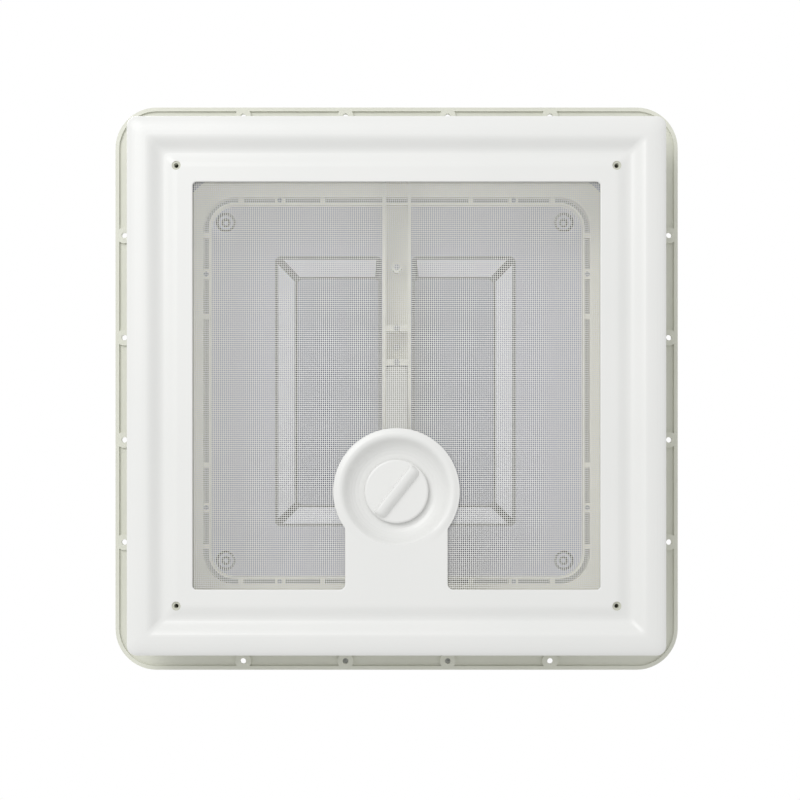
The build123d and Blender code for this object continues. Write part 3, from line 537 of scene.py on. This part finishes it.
# ---------------------------------------------------------------- lid dome
def make_dome():
    """The dome's thin sheet: a skirt, a rounded shoulder, two raised panels and four corner pips."""
    bm = bmesh.new()
    top = dome_high.z - 10.0
    low = dome_low.z
    wall, shoulder, corner = 2.5, 10.0, 36.0
    skirt = [(0.0, low), (0.0, low + 0.6), (0.0, top - shoulder)]
    for step in range(1, 9):
        turn = math.radians(90 * step / 8)
        skirt.append((shoulder * (1 - math.cos(turn)), top - shoulder + shoulder * math.sin(turn)))
    loops = [loop_of(bm, ring_points(dome_half - inset, dome_half - inset, corner - inset, z, steps=16))
             for inset, z in skirt]
    skin(bm, loops)
    holes = []
    crease = 1.9
    for side in (-1, 1):
        inner, outer, reach = 11.5, 99.8 - 1.2 * side, 112.0
        slope, steep, rise = 17.8, 1.8, 10.0
        levels = [(0.0, 0.0), (crease, 0.5), (slope - 2.8, rise - 0.8), (slope, rise)]
        rings = []
        for inset, up in levels:
            x0 = inner + (steep * inset / slope)
            x1 = outer - inset
            y = reach - inset
            points = ring_points((x1 - x0) / 2, y, 5.0, top + up, (side * (x0 + x1) / 2, 0.0), steps=4)
            rings.append(loop_of(bm, points))
        # The crease step, the rounded corners and the walls along the middle land get near-black painted shade; the
        # panels' long slopes get the pale slope colour.
        for index, (first, second) in enumerate(zip(rings, rings[1:])):
            for i in range(len(first)):
                j = (i + 1) % len(first)
                middle = (first[i].co + first[j].co) / 2 / MM
                at_corner = i % 5 != 4
                at_land = abs(middle.x) < inner + steep + 1.0
                crease_shade_mask = index != 1 or at_corner or at_land
                face = bm.faces.new((first[i], first[j], second[j], second[i]))
                face.material_index = 1 if crease_shade_mask else 2
        # The panel tops take the darker painted shade.
        fill_flat(bm, [rings[-1]], 3)
        holes.append(rings[0])
    for sx in (-1, 1):
        for sy in (-1, 1):
            centre = (sx * 140.0 - 1.6, sy * 140.0)
            pip = [loop_of(bm, circle_points(radius, top + up, centre, 40)) for radius, up in
                   ((9.3, 0.0), (7.4, 2.5), (5.0, 2.5), (3.2, 5.0))]
            # The pips' two steep steps get the near-black painted shade.
            skin(bm, pip[:2], 1)
            skin(bm, pip[1:3], 0)
            skin(bm, pip[2:], 1)
            fill_flat(bm, [pip[-1]])
            holes.append(pip[0])
    fill_flat(bm, [loops[-1]] + holes)
    piece = make_piece("lid_dome_sheet", bm, [lid_sheet_painted_shade, lid_crease_painted_shade, lid_slope, lid_panel_painted_shade, lid_skin],
                       sharp_degrees=28)
    outside = len(piece.data.polygons)
    solid = piece.modifiers.new("wall", "SOLIDIFY")
    solid.thickness, solid.offset, solid.use_even_offset = wall * MM, -1, True
    apply_modifiers(piece)
    # Only the outer faces get the lid's own pale colour; the inner faces keep the painted shade of their slots.
    for face in piece.data.polygons[:outside]:
        face.material_index = 4
    return piece


dome = make_dome()
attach(dome, "lid")
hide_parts("lid_dome")


# ---------------------------------------------------------------- knob
def make_knob():
    """A round plate with one tall ridge to grip: steep on one side, and easing down on the other."""
    bm = bmesh.new()
    radius = 25.0
    back, front = knob_high.z, knob_high.z - 4.8
    crest = knob_low.z
    plate = [(radius, back), (radius, front + 1.8), (radius - 0.25, front + 1.0), (radius - 0.8, front + 0.35),
             (radius - 1.7, front), (radius - 5.0, front)]
    count = 96
    loops = [loop_of(bm, circle_points(r, z, (0.0, 0.0), count)) for r, z in plate]
    skin(bm, loops)
    fill_flat(bm, [loops[0]])
    fill_flat(bm, [loops[-1]])
    stations, around = 40, 20
    rows = []
    for i in range(stations + 1):
        along = -24.0 + 48.0 * i / stations
        end = min(1.0, (24.0 - abs(along)) / 4.5)
        tall = (1 - (1 - end) ** 2.4) ** 0.5 if end > 0 else 0.0
        wide = (1 - (1 - end) ** 2.2) ** 0.5 if end > 0 else 0.0
        row = []
        for j in range(around + 1):
            t = -1 + 2 * j / around
            side = 2.2 if t < 0 else 8.0
            across = t * side * (0.35 + 0.65 * wide)
            lean = 0.4 if t < 0 else 0.45
            height = max(0.0, 1 - abs(t) ** (1 / lean + 0.4)) * tall
            row.append((along, across - 2.0, front + 0.4 - (front - crest + 0.4) * height))
        rows.append(loop_of(bm, row))
    for first, second in zip(rows, rows[1:]):
        for j in range(around):
            bm.faces.new((first[j], first[j + 1], second[j + 1], second[j]))
    rim = [row[0] for row in rows] + rows[-1][1:] + [row[-1] for row in reversed(rows[:-1])] + rows[0][-2:0:-1]
    bm.faces.new(rim)
    turn = math.radians(-51.7)
    for vertex in bm.verts:
        x, y = vertex.co.x, vertex.co.y
        vertex.co.x = x * math.cos(turn) - y * math.sin(turn)
        vertex.co.y = x * math.sin(turn) + y * math.cos(turn) + knob_centre[1] * MM
    return make_piece("turning_knob", bm, [trim_abs], sharp_degrees=40)


knob = make_knob()
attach(knob, "knob_shaft")
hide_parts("knob")


# ---------------------------------------------------------------- stage, light and camera
def make_floor():
    """A pale floor that shows from above only, so that the underside can be seen through it."""
    bm = bmesh.new()
    size, height = 6000.0, cad_low.z / MM
    bm.faces.new(loop_of(bm, [(-size, -size, height), (size, -size, height), (size, size, height), (-size, size, height)]))
    material, tree, place = new_material("pale_studio_floor")
    grain = add(tree, "ShaderNodeTexNoise", {"Vector": place, "Scale": per_metre(90.0), "Detail": 3.0})
    tone = add(tree, "ShaderNodeMix", {"Factor": grain.outputs["Fac"], 6: linear("e9e9e8"), 7: linear("e5e5e4")},
               data_type="RGBA")
    shader = add(tree, "ShaderNodeBsdfPrincipled", {"Base Color": tone.outputs[2], "Roughness": 0.7})
    clear = add(tree, "ShaderNodeBsdfTransparent")
    behind = add(tree, "ShaderNodeNewGeometry").outputs["Backfacing"]
    mixed = add(tree, "ShaderNodeMixShader", {0: behind, 1: shader.outputs[0], 2: clear.outputs[0]})
    add(tree, "ShaderNodeOutputMaterial", {"Surface": mixed.outputs[0]})
    floor = make_piece("studio_floor", bm, [material])
    if floor.data.polygons[0].normal.z < 0:
        floor.data.flip_normals()
    for flag in ("visible_shadow", "visible_diffuse", "visible_glossy", "visible_transmission"):
        setattr(floor, flag, False)
    return floor


make_floor()


def area_lamp(name, place, target, size, power, colour="ffffff"):
    """A soft square lamp that points at a target, both in metres."""
    data = bpy.data.lights.new(name, "AREA")
    data.shape, data.size, data.energy = "SQUARE", size, power
    data.color = linear(colour)[:3]
    lamp = bpy.data.objects.new(name, data)
    lamp.location = place
    lamp.rotation_mode = "QUATERNION"
    lamp.rotation_quaternion = (Vector(target) - Vector(place)).to_track_quat("-Z", "Y")
    bpy.context.scene.collection.objects.link(lamp)


area_lamp("room_key", (-1.1, -1.2, -2.2), (0, 0, 0), 1.5, 32)
area_lamp("sky_key", (-1.2, -1.6, 2.2), (0, 0, 0), 1.6, 26)

world = bpy.data.worlds.new("studio_world")
world.use_nodes = True
bpy.context.scene.world = world
sky = world.node_tree
sky.nodes.clear()
direction = add(sky, "ShaderNodeSeparateXYZ", {0: add(sky, "ShaderNodeTexCoord").outputs["Generated"]})
rise = add(sky, "ShaderNodeMapRange", {"Value": direction.outputs["Z"], "From Min": -0.25, "From Max": 0.25})
glow = add(sky, "ShaderNodeMix", {"Factor": rise.outputs[0], 6: linear("e3e3e3"), 7: linear("ffffff")},
           data_type="RGBA")
light = add(sky, "ShaderNodeBackground", {"Color": glow.outputs[2], "Strength": 1.0})
add(sky, "ShaderNodeOutputWorld", {"Surface": light.outputs[0]})

camera_data = bpy.data.cameras.new("camera")
camera_data.lens, camera_data.sensor_width = 81.3, 36.0
camera_data.shift_y = 0.097
camera = bpy.data.objects.new("camera", camera_data)
camera.location = (0.0027, 0.0713, -1.448)
camera.rotation_euler = (math.pi, 0, 0)
bpy.context.scene.collection.objects.link(camera)
bpy.context.scene.camera = camera
bpy.context.scene.view_settings.view_transform = "Standard"
